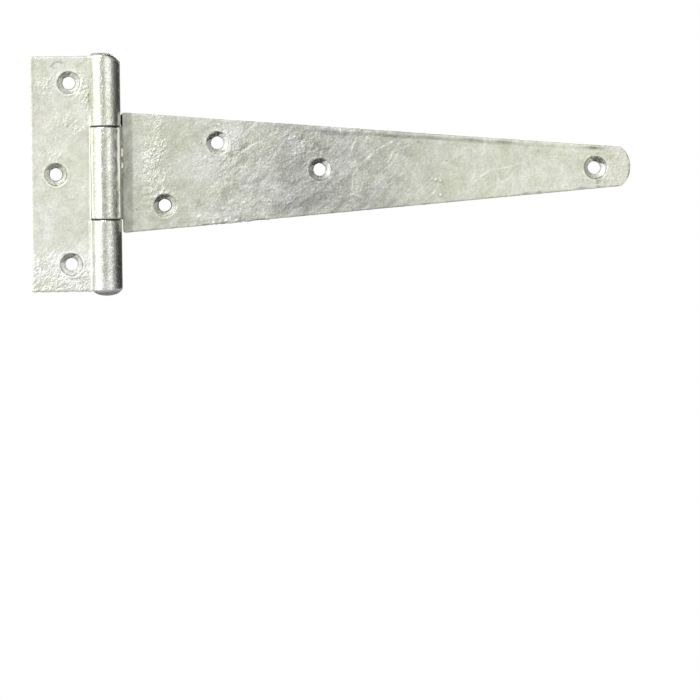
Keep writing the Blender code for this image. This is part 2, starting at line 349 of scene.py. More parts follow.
def hammered_pin(p):
    """The same for the pin's two heads, which also reach down onto the knuckles."""
    dx, dy, z = p[:, 0], p[:, 1] + BARREL_R, p[:, 2]
    r = np.maximum(np.hypot(dx, dy), 1e-6)
    end, q = LEAF_HALF_H + 0.2, p.copy()
    # top
    cos_a = np.clip((z - end - 0.25) / 0.55, 0, 1)
    now_top = 4.6 + 2.4 * np.sqrt(1 - cos_a**2)
    z_top = 67.0 + (z - end) * (TOP_Z - 67.0) / 0.8
    # bottom
    sin_a = np.clip((-end - 0.25 - z) / 1.85, 0, 0.995)
    now_low = 7.0 * np.sqrt(1 - sin_a**2)
    z_low = -67.3 - (-end - z) * (-LOW_Z - 67.3) / 2.1
    for here, z_new, now in (
        (z > end - 0.15, z_top, now_top),
        (z < -end + 0.15, z_low, now_low),
    ):
        scale = 0.993 * end_radius(z_new, dx / r) / now
        q[here, 0] = (dx * scale)[here]
        q[here, 1] = (dy * scale)[here] - BARREL_R
        q[here, 2] = z_new[here]
    return q


def hollows(p, e, n, voxel):
    """How hollow (above 0) or proud (below 0) the surface is at each vertex."""
    count = np.bincount(e.ravel(), minlength=len(p)).astype(float)

    def around(v):
        return (
            np.bincount(e[:, 0], weights=v[e[:, 1]], minlength=len(p))
            + np.bincount(e[:, 1], weights=v[e[:, 0]], minlength=len(p))
        ) / count

    gap = np.stack([around(p[:, axis]) for axis in range(3)], axis=1) - p
    c = (gap * n).sum(axis=1) / voxel
    return 0.5 * c + 0.5 * around(c)


def keep(mesh, name, values):
    mesh.attributes.new(name, "FLOAT", "POINT").data.foreach_set(
        "value", values.astype(np.float32)
    )


def finish(obj, p, e, n, d, shade, lumpy, voxel, depth):
    """Raises the zinc, paints shade into its hollows and a highlight onto its ridges, and stores the two masks that the
    material reads.
    """
    p = p + n * d[:, None]
    put(obj.data, p)
    c = hollows(p, e, normals(obj.data), voxel)
    # painted shade in hollows and creases, painted highlight on ridges, from how hollow each vertex is
    shade = shade * np.clip(1 - depth * c, 0.40, 1.10)
    keep(obj.data, "shade", np.clip(shade, 0.05, 1.5))
    keep(obj.data, "lumpy", np.clip(lumpy, 0, 1))
    return obj


def zinc_leaf():
    obj, p, e = skin("fixed_leaf", "fixed_leaf_zinc", 0.55, 3)
    inner = np.abs(np.abs(p[:, 2]) - 26.55) > 0.6
    p = true_round(p, (np.abs(p[:, 2]) < LEAF_HALF_H - 3.4) & inner)
    p = filled_corner(hammered_knuckle(p))
    put(obj.data, p)
    n = normals(obj.data)
    rng = np.random.default_rng(11)
    x, y, z = p.T
    r_pin = np.hypot(x, y + BARREL_R)
    plate = step(-8.8, -9.8, x)
    barrel = 1 - plate
    inside = (r_pin < 5.4).astype(float) * barrel
    broad = noise(p, 11.0, 41)
    d = coarse(p) * (1 - 0.75 * barrel)
    low = step(-40.0, -55.0, z + 3.0 * broad) * plate
    patches = np.clip(
        low
        + 0.55 * spot(x, z, -34.0, 49.5, 5.5, 6.5)
        + 1.0 * spot(x, z, -13.0, 46.0, 5.5, 13.0, 18)
        + 0.7 * spot(x, z, -23.5, 30.0, 5.0)
        + 0.6 * spot(x, z, -16.0, 24.0, 5.0)
        + 0.5 * spot(x, z, -28.0, 10.0, 8.0, 4.0)
        + 0.25 * spot(x, z, -31.0, -45.0, 8.0, 6.0)
        + 0.4 * np.clip(broad, 0, 1),
        0,
        1,
    ) * plate
    d += (0.035 + 0.06 * patches) * fbm(p, 2.0, 2, 31) * plate
    d += 0.075 * patches * lumps(p, 1.35, 33, 60, 1.2)
    d += 0.06 * low * lumps(p, 1.3, 35, 45, 1.1)
    # the lower edge: runs of zinc that froze as they drained
    foot = np.exp(-(((z + LEAF_HALF_H) / 1.5) ** 2)) * plate
    d += foot * (0.16 + 0.42 * np.clip(noise(p, 3.1, 71, (1, 3, 3)), -0.4, 1))
    side = np.exp(-(((x - LEAF_EDGE_X) / 1.1) ** 2))
    d += side * (0.06 + 0.15 * fbm(p, 4.0, 2, 77))
    head = np.exp(-(((z - LEAF_HALF_H) / 1.0) ** 2)) * plate
    d += head * 0.08 * fbm(p, 3.5, 2, 79)
    rings, shade, dull = sinks(p, n, LEAF_HOLES, rng)
    d += rings * plate
    shade = np.where(plate > 0.5, shade, 1.0)
    d += drops(p, n, rng, 90, (-29.0, -58.0), (8.0, 6.0), 0.55, 0.13)
    d += drops(p, n, rng, 50, (-14.0, -56.0), (3.5, 7.0), 0.50, 0.13)
    d += drops(p, n, rng, 20, (-34.0, 49.5), (3.5, 3.5), 0.6, 0.14)
    d += drops(p, n, rng, 50, (-14.0, 45.0), (2.8, 9.0), 0.50, 0.12)
    d += drops(p, n, rng, 14, (-22.0, 28.0), (4.0, 4.0), 0.7, 0.20)
    d += drops(p, n, rng, 40, (-26.0, 5.0), (9.0, 30.0), 0.6, 0.13)
    # a faint ring where a drop dried, and a curled mark by the top hole
    ring = np.exp(-(((np.hypot(x + 24.5, z - 31.0) - 3.0) / 0.55) ** 2))
    curl = line(p, [(-30.6, 61.5), (-28.6, 63.6), (-26.4, 63.9), (-24.6, 63.2)], 0.7)
    curl = np.maximum(curl, line(p, [(-30.6, 61.5), (-29.8, 60.6)], 0.8))
    front = np.clip(-n[:, 1], 0, 1)
    d += (0.08 * ring - 0.14 * curl) * front
    shade *= 1 - 0.30 * curl * front - 0.07 * ring * front
    # knuckles: rubbed nearly smooth, with faint dents
    dents = 0.022 * fbm(p, 1.9, 2, 91, (1, 1, 1.4)) + 0.03 * fbm(p, 5.5, 1, 93, (1, 1, 2))
    d += dents * barrel * (1 - 0.6 * step(5.0, 8.0, x))
    # nothing grows where it would touch the pin or the strap's knuckle
    calm = np.where(np.abs(np.abs(z) - 26.6) < 0.9, barrel, 0.0)
    d *= (1 - inside) * (1 - calm)
    notch_wall = (np.abs(x + 8.0) < 0.9) & (np.abs(z) < 27.5)
    d[notch_wall] *= 0.2
    back = n[:, 1] > 0.5
    d = np.where(back, d * 0.35, d)
    # painted shade in the splits and along the crease beside the barrel's upper part; painted light in the niche beside
    # the barrel, towards the foot; painted shade and a painted highlight along the edge of the filled corner; a broken
    # darker line inside the left rim and another along the foot
    painted_split_shade = np.exp(-(((np.abs(z) - 26.55) / 0.40) ** 2)) * barrel
    shade *= 1 - 0.93 * painted_split_shade
    painted_crease_shade = np.exp(-(((x + 8.9) / 0.5) ** 2)) * front
    shade *= 1 - 0.12 * painted_crease_shade * step(0.0, 30.0, z)
    painted_niche_light = np.exp(-(((x + 9.3) / 0.9) ** 2)) * front
    shade *= 1 + 0.30 * painted_niche_light * step(35.0, -5.0, z)
    level = front * step(27.0, 26.0, np.abs(z))
    painted_fillet_crease = np.exp(-(((x + 10.05) / 0.7) ** 2)) * level
    shade *= 1 - 0.36 * painted_fillet_crease * (0.8 + 0.35 * noise(p, 7.0, 103))
    # painted highlight on the filled corner's edge
    shade *= 1 + 0.26 * np.exp(-(((x + 9.0) / 0.55) ** 2)) * level
    rim = np.exp(-(((x - LEAF_EDGE_X - 1.9) / 0.5) ** 2)) * front
    shade *= 1 - 0.16 * rim * step(-0.2, 0.4, noise(p, 5.0, 97))
    foot_line = np.exp(-(((z + LEAF_HALF_H - 0.9 - 0.5 * noise(p, 4.0, 99)) / 0.5) ** 2)) * plate
    shade *= 1 - 0.30 * foot_line * step(-0.1, 0.3, noise(p, 2.2, 101))
    # the plate darker towards the top, the barrel a little lighter
    shade *= 0.90 + 0.12 * step(45.0, -45.0, z) * plate + 0.10 * barrel
    # painted reflection: beside the strap's plate the knuckle's right side is painted in lighter and darker bands, as
    # if it mirrored the plate, and its right half is painted a little lighter above the split
    side = np.interp(
        x, [3.5, 5.2, 5.7, 6.3, 6.9, 7.4, 7.9, 8.3], [1.1, 1.2, 0.62, 0.72, 1.12, 1.40, 1.25, 1.0]
    )
    painted_reflection = barrel * (z > 26) * (y < -9.0) * step(35.5, 31.5, z + 0.9 * noise(p, 2.0, 105))
    shade *= 1 + (side - 1) * painted_reflection
    shade *= 1 + 0.16 * barrel * step(-1.5, 0.5, x) * (z > 26) * (1 - painted_reflection)
    # painted shade on the lower end's faces that tilt up or down, and on the upper end's faces that look up
    painted_end_shade = barrel * (z < -63) * step(0.15, 0.55, np.abs(n[:, 2]))
    shade *= 1 - 0.42 * painted_end_shade
    shade *= 1 - 0.10 * barrel * (z > 63) * step(0.3, 0.7, n[:, 2])
    lumpy = np.maximum(0.15 + 0.85 * patches, dull)
    return finish(obj, p, e, n, d, shade, lumpy, 0.55, 1.3)


# drops of zinc caught between the strap's knuckle and its plate: middle and half sizes
SEAM_DROPS = (
    ((8.95, -8.4, 12.5), (0.80, 0.95, 1.7)),
    ((9.00, -8.2, 10.3), (0.85, 0.90, 1.3)),
    ((8.95, -8.4, 4.3), (0.80, 0.95, 1.9)),
    ((8.75, -8.4, 16.9), (0.75, 0.80, 1.1)),
    ((8.70, -8.4, 0.3), (0.70, 0.80, 0.8)),
    ((8.70, -8.4, -2.4), (0.70, 0.80, 1.0)),
)


def zinc_strap():
    obj, p, e = skin("strap_leaf", "strap_zinc", 0.62, 3, SEAM_DROPS)
    p = true_round(p, np.abs(p[:, 2]) < STRAP_KNUCKLE_HALF - 0.6)
    inner = step(9.25, 8.9, p[:, 0])
    p[:, 2] += np.sign(p[:, 2]) * 0.38 * inner * step(25.0, 25.8, np.abs(p[:, 2]))
    edge = step(10.6, 9.6, p[:, 0]) * step(26.7, 27.3, p[:, 2]) * step(34.2, 33.0, p[:, 2])
    p[:, 0] -= 0.62 * edge * (0.95 + 0.25 * noise(p, 2.5, 119))
    put(obj.data, p)
    n = normals(obj.data)
    rng = np.random.default_rng(23)
    x, y, z = p.T
    r_pin = np.hypot(x, y + BARREL_R)
    barrel = np.where(r_pin < BARREL_R + 0.3, step(9.3, 8.7, x), 0.0)
    barrel = np.where((y > -4.5) & (x > 0), 0.0, barrel)
    plate = 1 - barrel
    inside = (r_pin < 5.4).astype(float)
    half = strap_half(x)
    from_top, from_low = half - z, z + half
    front = np.clip(-n[:, 1], 0, 1)
    broad = noise(p, 13.0, 121)
    d = coarse(p) * (1 - 0.75 * barrel)
    root = np.clip(
        spot(x, z, 28.0, 11.0, 7.0, 21.0, -12)
        + 0.8 * spot(x, z, 31.0, -8.0, 6.0, 8.0)
        + 0.25 * spot(x, z, 24.0, 30.0, 9.0, 5.0)
        + 0.5 * spot(x, z, 33.3, -18.9, 11.0, 11.0)
        + 0.5 * spot(x, z, 14.0, 5.0, 4.0, 14.0),
        0,
        1,
    ) * plate
    middle = np.clip(
        1.0 * spot(x, z, 114.0, 12.0, 10.0, 8.0, -30)
        + 0.6 * spot(x, z, 70.0, 15.5, 12.0, 9.0)
        + 0.5 * spot(x, z, 122.4, 0.4, 12.0, 12.0)
        + 0.6 * spot(x, z, 98.0, -18.0, 26.0, 6.0, 5)
        + 0.4 * spot(x, z, 85.0, 8.0, 30.0, 12.0, 10),
        0,
        1,
    )
    tip = step(262.0, 290.0, x)
    streaky = step(45.0, 70.0, x) * step(215.0, 150.0, x)
    rough = np.clip(root + middle + 0.28 * tip + 0.25 * np.clip(broad, 0, 1), 0, 1)
    d += (0.04 + 0.10 * rough) * fbm(p, 2.3, 2, 131) * plate
    d -= 0.12 * np.exp(-((from_low / 0.8) ** 2)) * plate
    d += 0.09 * root * lumps(p, 1.3, 137, 62, 1.3)
    d += 0.16 * middle * lumps(p, 1.6, 139, 45, 1.3)
    slanted = turned_about_y(p, 40)
    veins = fbm(slanted, 2.0, 2, 141, (4.5, 1, 1))
    d += 0.08 * streaky * veins * front
    strokes = runs(p, n, rng, 70, (52, -26), (150, 26), (4, 11), 42, 0.55)
    strokes = np.maximum(
        strokes, 0.8 * runs(p, n, rng, 36, (120, -18), (230, 18), (6, 16), 38, 0.6)
    )
    for points in (
        ((140.0, 11.3), (143.4, 18.1)),
        ((148.5, 5.5), (154.3, 11.1), (163.4, 15.6)),
        ((161.1, 4.2), (164.6, 11.0), (168.0, 15.0)),
        ((136.5, -15.5), (141.1, -13.8), (146.3, -16.2)),
        ((140.5, -11.5), (141.1, -2.9)),
        ((75.3, 9.3), (82.2, 13.8), (89.0, 17.1)),
        ((66.2, -20.9), (71.9, -16.3)),
    ):
        strokes = np.maximum(strokes, 1.5 * line(p, points, 0.62) * front)
    curl = line(p, [(208.0, -10.1), (215.0, -4.0), (222.0, 0.0)], 0.7) * front
    strokes = np.maximum(strokes, 0.6 * curl)
    d += 0.11 * strokes
    # a bead of zinc along the upper edge, with a shallow hollow under it
    along = step(100.0, 125.0, x) * (1 - 0.5 * step(225.0, 262.0, x)) * step(290.0, 280.0, x)
    wander = 0.5 * noise(p, 14.0, 151) + 0.2 * noise(p, 5.0, 152)
    broken = 0.65 + 0.35 * noise(p, 9.0, 153)
    bead = along * np.exp(-(((from_top - 1.1 + wander) / 1.2) ** 2)) * broken * front
    groove = along * np.exp(-(((from_top - 3.2 + wander) / 0.8) ** 2)) * broken * front
    d += 0.30 * bead - 0.26 * groove
    d += 0.07 * np.exp(-((from_top / 1.2) ** 2)) * plate * (1 - along)
    # beads and runs along the lower edge
    foot = np.exp(-(((from_low - 0.3) / 1.3) ** 2)) * plate
    ragged = 0.30 + 0.70 * step(36.0, 46.0, x) * step(100.0, 88.0, x)
    d += foot * ragged * (0.06 + 0.62 * np.clip(noise(p, 2.4, 161), -0.35, 1))
    rings, shade, dull = sinks(p, n, STRAP_HOLES, rng)
    d += rings
    d += drops(p, n, rng, 170, (27.5, 8.0), (4.6, 11.0), 0.46, 0.13)
    d += drops(p, n, rng, 50, (30.0, -12.0), (6.0, 7.0), 0.55, 0.18)
    d += drops(p, n, rng, 60, (68.0, -27.6), (16.0, 1.3), 0.75, 0.42)
    d += drops(p, n, rng, 46, (114.0, 12.0), (7.0, 5.0), 0.75, 0.30)
    d += drops(p, n, rng, 24, (72.0, 15.0), (6.0, 5.0), 0.75, 0.26)
    d += drops(p, n, rng, 90, (90.0, -4.0), (32.0, 12.0), 0.6, 0.18, 45)
    d += drops(p, n, rng, 40, (286.0, 0.0), (6.0, 6.0), 0.6, 0.18)
    d += drops(p, n, rng, 40, (230.0, 0.0), (35.0, 8.0), 0.55, 0.11)
    # a few beads of zinc, each raised, with a painted highlight on its top and a painted shadow in a ring round it,
    # strongest at its lower left
    for cx, cz, r, h in (
        (188.3, -6.2, 0.8, 0.75),
        (191.2, -6.8, 0.7, 0.60),
        (186.2, -5.4, 0.6, 0.50),
        (191.0, -15.0, 0.8, 0.70),
        (64.5, 27.0, 0.8, 0.35),
    ):
        d += h * spot(x, z, cx, cz, r) * front
        away = np.hypot(x - cx, z - cz) / r
        painted_bead_shadow = 0.35 + 0.65 * step(-0.6, 0.6, (cx - x + 1.2 * (cz - z)) / (1.6 * r))
        painted_bead_shadow *= 0.5 + 0.5 * step(-0.3, 0.3, noise(p, 0.8, 219))
        shade *= 1 + (0.30 * step(1.1, 0.4, away) - 0.30 * painted_bead_shadow * np.exp(-(((away - 1.5) / 0.35) ** 2))) * front
    notch = spot(x, z, 281.0, -8.4, 1.1, 1.6)
    d -= 0.25 * notch * front
    # the knuckle is rubbed nearly smooth
    dents = 0.022 * fbm(p, 1.9, 2, 191, (1, 1, 1.4)) + 0.03 * fbm(p, 5.5, 1, 193, (1, 1, 2))
    d += dents * barrel * (1 - 0.6 * step(5.0, 8.0, x))
    # the roll's lip: a low ridge down the knuckle's side, next to the plate
    from_lip = (np.arctan2(x, -(y + BARREL_R)) - math.asin(7.25 / BARREL_R)) * BARREL_R
    lip = np.exp(-((from_lip / 0.70) ** 2)) * (r_pin > 7.5) * (r_pin < 9.2) * (y < -9.5)
    d += 0.22 * lip * step(25.4, 24.0, np.abs(z)) * (1 + 0.25 * noise(p, 5.0, 195, (9, 9, 1)))
    calm = np.where(np.abs(np.abs(z) - 26.4) < 0.9, step(9.3, 8.9, x), 0.0)
    d *= (1 - inside) * (1 - calm)
    neck = (x < 11.5) & (np.abs(z) > STRAP_KNUCKLE_HALF - 0.5)
    d[neck] *= 0.25
    # painted shade down the seam between the knuckle and the plate; the drips caught in it get a painted highlight on
    # their front faces
    painted_seam_shade = np.exp(-(((x - 9.05) / 0.65) ** 2)) * (np.abs(z) < 25.4) * (y > -4.6) * (n[:, 1] < -0.3)
    shade *= 1 - 0.45 * painted_seam_shade
    caught, white = np.zeros(len(p)), np.ones(len(p))
    for (cx, cy, cz), (hx, hy, hz) in SEAM_DROPS:
        far = ((x - cx) / (hx + 0.25)) ** 2 + ((y - cy) / (hy + 0.4)) ** 2 + ((z - cz) / (hz + 0.3)) ** 2
        mine = step(1.7, 0.9, far + 0.25 * noise(p, 1.2, 196)) * step(8.05, 8.35, x)
        caught = np.maximum(caught, mine)
        white = np.maximum(white, 1 + mine * (0.33 if hz > 1.2 else 0.14) * step(0.25, 0.6, -n[:, 1]))
    d *= 1 - caught
    # painted reflections: bands down the knuckle's sides painted lighter and darker, as if they mirrored the two
    # plates, patchy, and dimmer low on the right
    painted_knuckle_bands = np.interp(
        x,
        [-8.4, -7.6, -7.2, -5.4, -4.9, -3.2, -2.6, 0.5, 1.5, 3.2, 4.2, 5.2, 5.9, 6.5, 7.0, 7.6, 8.0, 8.3],
        [1.38, 1.36, 1.00, 1.00, 1.25, 1.42, 1.00, 1.0, 1.12, 1.13, 1.17, 1.19, 1.17, 1.30, 1.45, 1.38, 0.95, 0.80],
    )
    patchy = 1 + 0.07 * noise(p, 2.2, 197, (1, 1, 2)) * step(3.0, 5.0, x)
    lower = 1 - 0.09 * step(6.2, 6.9, x) * step(0.0, -12.0, z)
    shade *= 1 + (painted_knuckle_bands * patchy * lower - 1) * barrel * (y < -8)
    back = n[:, 1] > 0.5
    d = np.where(back, d * 0.35, d)
    # tone: painted shade in the splits and near-black painted shade in the gap at the upper shoulder, dull violet-grey
    # fields, dark marks under the upper bead
    painted_split_shade = np.exp(-(((np.abs(z) - 26.45) / 0.45) ** 2)) * step(9.3, 8.9, x)
    shade *= 1 - 0.93 * painted_split_shade
    painted_shoulder_shade = np.exp(-(((x - 8.7) / 0.75) ** 2)) * step(26.0, 26.6, z) * step(33.6, 32.0, z)
    shade *= 1 - 0.93 * painted_shoulder_shade
    field = np.clip(
        0.9 * spot(x, z, 102.0, -19.5, 20.0, 5.5, 3)
        + 0.8 * spot(x, z, 115.0, 14.0, 8.0, 6.0, -20)
        + 0.6 * spot(x, z, 140.0, -16.0, 28.0, 6.0)
        + 0.9 * spot(x, z, 86.0, -13.0, 15.0, 8.0, 8)
        + 0.3 * spot(x, z, 110.0, 2.0, 30.0, 22.0),
        0,
        1,
    )
    grain = step(-0.35, 0.55, fbm(slanted, 3.2, 3, 201, (2.2, 1, 1)))
    shade *= 1 - 0.26 * field * (0.30 + 0.70 * grain) * front
    # painted shadow: mottled darker patches along the root, up to where the barrel's cast shadow ends
    painted_root_shadow = step(16.5, 13.5, x) * step(-0.25, 0.45, fbm(p, 5.0, 3, 199, (1, 1, 1.5)))
    shade *= 1 - 0.13 * painted_root_shadow * plate * front
    veil = step(0.10, 0.55, fbm(slanted, 4.0, 3, 203, (3.0, 1, 1)))
    shade *= 1 - 0.10 * streaky * veil * front
    shade *= 1 + 0.20 * strokes
    # painted highlight on the upper bead and painted shade in the hollow under it
    shade *= 1 + 0.07 * bead - 0.26 * groove * (0.4 + 0.6 * step(-0.1, 0.4, noise(p, 6.0, 205)))
    for cx, drop, rx, rz, depth in (
        (132.5, 4.0, 8.0, 1.1, 0.55),
        (160.0, 3.0, 6.0, 0.9, 0.42),
        (174.0, 2.5, 4.0, 0.8, 0.34),
        (188.5, 2.6, 6.0, 0.8, 0.40),
        (210.0, 2.2, 7.0, 0.8, 0.48),
        (227.5, 2.1, 4.5, 0.7, 0.45),
        (279.0, 1.9, 4.5, 0.8, 0.72),
        (281.0, 5.2, 1.4, 0.7, 0.45),
        (179.0, 5.6, 1.0, 0.6, 0.45),
    ):
        mark = spot(x, from_top, cx, drop, rx, rz) * front
        shade *= 1 - depth * mark * (0.6 + 0.4 * step(-0.2, 0.3, noise(p, 2.0, 207)))
    shade *= 1 - 0.5 * notch * front
    # dark thin outlines: the lower edge here and there, and the rim of the tip
    low_line = np.exp(-(((from_low - 0.4) / 0.45) ** 2)) * plate
    worst = 0.30 + 0.25 * step(40.0, 55.0, x) * step(125.0, 105.0, x)
    shade *= 1 - worst * low_line * step(-0.2, 0.3, noise(p, 5.0, 209)) * (x > 12)
    under = np.exp(-(((from_low - 2.6 - 0.8 * noise(p, 6.0, 215)) / 0.7) ** 2)) * front
    shade *= 1 - 0.30 * under * step(40.0, 55.0, x) * step(120.0, 100.0, x) * step(-0.1, 0.3, noise(p, 2.5, 217))
    for cx, rx in ((240.0, 2.5), (247.0, 1.5), (271.5, 3.0), (281.5, 1.6)):
        shade *= 1 - 0.45 * spot(x, from_low, cx, 1.0, rx, 0.7) * front
    tip_r = np.hypot(x - 276.4, z)
    rim = step(21.9, 22.8, tip_r) * step(289.0, 293.0, x)
    shade *= 1 - 0.60 * rim * step(-0.4, 0.15, noise(p, 2.6, 211))
    lumpy = np.maximum(0.15 + 0.85 * rough, dull) * (1 - caught)
    # the caught drips: painted highlight on their front faces, a little darker on faces turned away
    shade = np.where(caught > 0.2, white - 0.08 * step(0.4, 0.1, -n[:, 1]), np.minimum(shade, 1.5))
    return finish(obj, p, e, n, d, shade, lumpy, 0.62, 1.3)


def zinc_pin():
    obj, p, e = skin("hinge_pin", "hinge_pin_zinc", 0.42, 3)
    p = hammered_pin(p)
    put(obj.data, p)
    n = normals(obj.data)
    z = p[:, 2]
    ends = step(66.9, 67.4, np.abs(z))
    d = ends * (0.07 * fbm(p, 4.0, 2, 211) + 0.06 * fbm(p, 1.9, 2, 213))
    r = np.hypot(p[:, 0], p[:, 1] + BARREL_R)
    # painted shade: the lower head darker, most on its faces that tilt up or down and round its outer part; faces that
    # look up painted darker, the rest a little lighter
    foot = ends * (z < 0)
    painted_end_shade = foot * step(0.12, 0.5, np.abs(n[:, 2]))
    shade = (1 - 0.15 * foot) * (1 - 0.42 * painted_end_shade) * (1 - 0.15 * foot * step(4.0, 7.5, r))
    shade *= 1.06 - 0.16 * step(0.5, 0.9, n[:, 2])
    return finish(obj, p, e, n, d, shade, 0.5 * ends, 0.42, 0.7)


# ---------------------------------------------------------------- materials


class Nodes:
    """A short way to write shader trees."""

    def __init__(self, tree):
        self.tree = tree

    def add(self, kind, **values):
        node = self.tree.nodes.new(kind)
        for key, value in values.items():
            setattr(node, key, value)
        return node

    def link(self, a, b):
        self.tree.links.new(a, b)

    def math(self, operation, a, b=None, clamp=False):
        node = self.add("ShaderNodeMath", operation=operation, use_clamp=clamp)
        for slot, value in zip(node.inputs, (a, b)):
            if value is None:
                continue
            if isinstance(value, (int, float)):
                slot.default_value = value
            else:
                self.link(value, slot)
        return node.outputs[0]

    def ramp(self, fac, stops, interpolation="LINEAR"):
        node = self.add("ShaderNodeValToRGB")
        node.color_ramp.interpolation = interpolation
        items = node.color_ramp.elements
        while len(items) > 1:
            items.remove(items[-1])
        for k, (at, colour) in enumerate(stops):
            item = items[0] if k == 0 else items.new(at)
            item.position = at
            item.color = (*colour, 1.0) if isinstance(colour, tuple) else (colour,) * 3 + (1.0,)
        self.link(fac, node.inputs[0])
        return node.outputs[0]

    def mix(self, fac, a, b, blend="MIX"):
        node = self.add("ShaderNodeMix", data_type="RGBA", blend_type=blend)
        for slot, value in ((node.inputs[0], fac), (node.inputs[6], a), (node.inputs[7], b)):
            if isinstance(value, (int, float)):
                slot.default_value = value
            elif isinstance(value, tuple):
                slot.default_value = (*value, 1.0)
            else:
                self.link(value, slot)
        return node.outputs[2]

    def noise(self, vector, scale, detail=3.0, rough=0.55, distort=0.0):
        node = self.add("ShaderNodeTexNoise")
        node.inputs["Scale"].default_value = scale
        node.inputs["Detail"].default_value = detail
        node.inputs["Roughness"].default_value = rough
        node.inputs["Distortion"].default_value = distort
        self.link(vector, node.inputs["Vector"])
        return node.outputs["Fac"]

    def mapped(self, vector, turn_y=0.0, scale=(1.0, 1.0, 1.0), shift=(0.0, 0.0, 0.0)):
        turn = self.add("ShaderNodeMapping")
        turn.inputs["Rotation"].default_value = (0.0, math.radians(turn_y), 0.0)
        turn.inputs["Location"].default_value = shift
        self.link(vector, turn.inputs["Vector"])
        size = self.add("ShaderNodeMapping")
        size.inputs["Scale"].default_value = scale
        self.link(turn.outputs[0], size.inputs["Vector"])
        return size.outputs[0]

    def smooth(self, value, a, b):
        """0 below a, 1 above b."""
        node = self.add("ShaderNodeMapRange", interpolation_type="SMOOTHSTEP")
        node.inputs["From Min"].default_value = a
        node.inputs["From Max"].default_value = b
        self.link(value, node.inputs["Value"])
        return node.outputs[0]


def lin(r, g, b):
    """sRGB 0-255 to linear."""
    return tuple(
        v / 255 / 12.92 if v / 255 <= 0.04045 else ((v / 255 + 0.055) / 1.055) ** 2.4
        for v in (r, g, b)
    )


class Sunk:
    """How one countersunk hole looks from the front. Angles are in degrees from +X towards +Z."""

    # each hole's painted light and shade: a painted shadow crescent, painted shade in the thin lip and outline, a
    # painted highlight on the lit side
    def __init__(self, at, top, reach, dark, lip, edge, shine, shine_at):
        self.at = at
        self.top, self.reach, self.dark = top, reach, dark  # the painted shadow: a dark crescent in the bowl
        self.lip = lip  # how dark the thin ring round the hole is
        self.edge = edge  # how dark the thin outline of the bowl is
        self.shine, self.shine_at = shine, shine_at  # painted highlight on the lit side of the bowl


def sunk_holes(k, colour, x_mm, y_mm, z_mm, coords, holes):
    """Paints light and shade into the bowls: each a painted shadow crescent, painted shade in a thin lip and outline,
    and a painted highlight on the lit side.
    """
    jitter = k.math("MULTIPLY", k.math("SUBTRACT", k.noise(coords, 620.0, 3.0, 0.6), 0.5), 2.4)
    grit = k.noise(coords, 1300.0, 3.0, 0.65)
    face = k.smooth(y_mm, -0.4, -0.9)
    for hole in holes:
        cx, cz = hole.at
        dx, dz = k.math("SUBTRACT", x_mm, cx), k.math("SUBTRACT", z_mm, cz)
        r = k.math(
            "SQRT", k.math("ADD", k.math("MULTIPLY", dx, dx), k.math("MULTIPLY", dz, dz))
        )
        rough_r = k.math("ADD", r, jitter)

        def towards(angle):
            a = math.radians(angle)
            dot = k.math(
                "ADD", k.math("MULTIPLY", dx, math.cos(a)), k.math("MULTIPLY", dz, math.sin(a))
            )
            return k.math("DIVIDE", dot, r)

        # painted shadow: a dark crescent in the bowl, widest towards hole.top
        limit = math.cos(math.radians(hole.reach))
        width = k.smooth(towards(hole.top), limit, 1.0)
        inner = k.math("ADD", k.math("MULTIPLY", k.math("SUBTRACT", 1.0, width), 3.0), 3.3)
        inside = k.math(
            "MULTIPLY",
            k.smooth(k.math("SUBTRACT", rough_r, inner), -0.25, 0.35),
            k.smooth(k.math("SUBTRACT", SINK_R - 0.25, rough_r), -0.30, 0.30),
        )
        painted_crescent_shadow = k.math("MULTIPLY", inside, k.math("MULTIPLY", k.smooth(width, 0.02, 0.15), face))
        speck = k.math("ADD", k.math("MULTIPLY", k.smooth(grit, 0.60, 0.42), 0.45), 0.55)
        painted_crescent_shadow = k.math("MULTIPLY", k.math("MULTIPLY", painted_crescent_shadow, speck), hole.dark)
        # painted shade in a thin ring round the hole and along the bowl's outline
        lip = k.math(
            "MULTIPLY", k.smooth(r, HOLE_R + 0.85, HOLE_R + 0.45), k.math("MULTIPLY", face, hole.lip)
        )
        lip = k.math("MULTIPLY", lip, k.smooth(jitter, 0.9, -0.1))
        near_edge = k.math("ABSOLUTE", k.math("SUBTRACT", k.math("SUBTRACT", r, k.math("MULTIPLY", jitter, 0.35)), SINK_R - 0.12))
        edge = k.math("MULTIPLY", k.smooth(near_edge, 0.40, 0.14), k.math("MULTIPLY", face, hole.edge))
        bowl = k.math("MULTIPLY", k.smooth(r, 3.5, 3.9), k.smooth(rough_r, 6.9, 6.0))
        # painted highlight on the lit side of the bowl
        shine = k.math("MULTIPLY", bowl, k.smooth(towards(hole.shine_at), 0.35, 0.80))
        shine = k.math("MULTIPLY", k.math("MULTIPLY", shine, k.smooth(grit, 0.34, 0.50)), hole.shine)
        colour = k.mix(k.math("MULTIPLY", shine, face), colour, (0.93, 0.93, 0.92))
        kept = k.math("MULTIPLY", k.math("SUBTRACT", 1.0, painted_crescent_shadow), k.math("SUBTRACT", 1.0, lip))
        kept = k.math("MULTIPLY", kept, k.math("SUBTRACT", 1.0, edge))
        colour = k.mix(1.0, colour, kept, "MULTIPLY")
    return colour


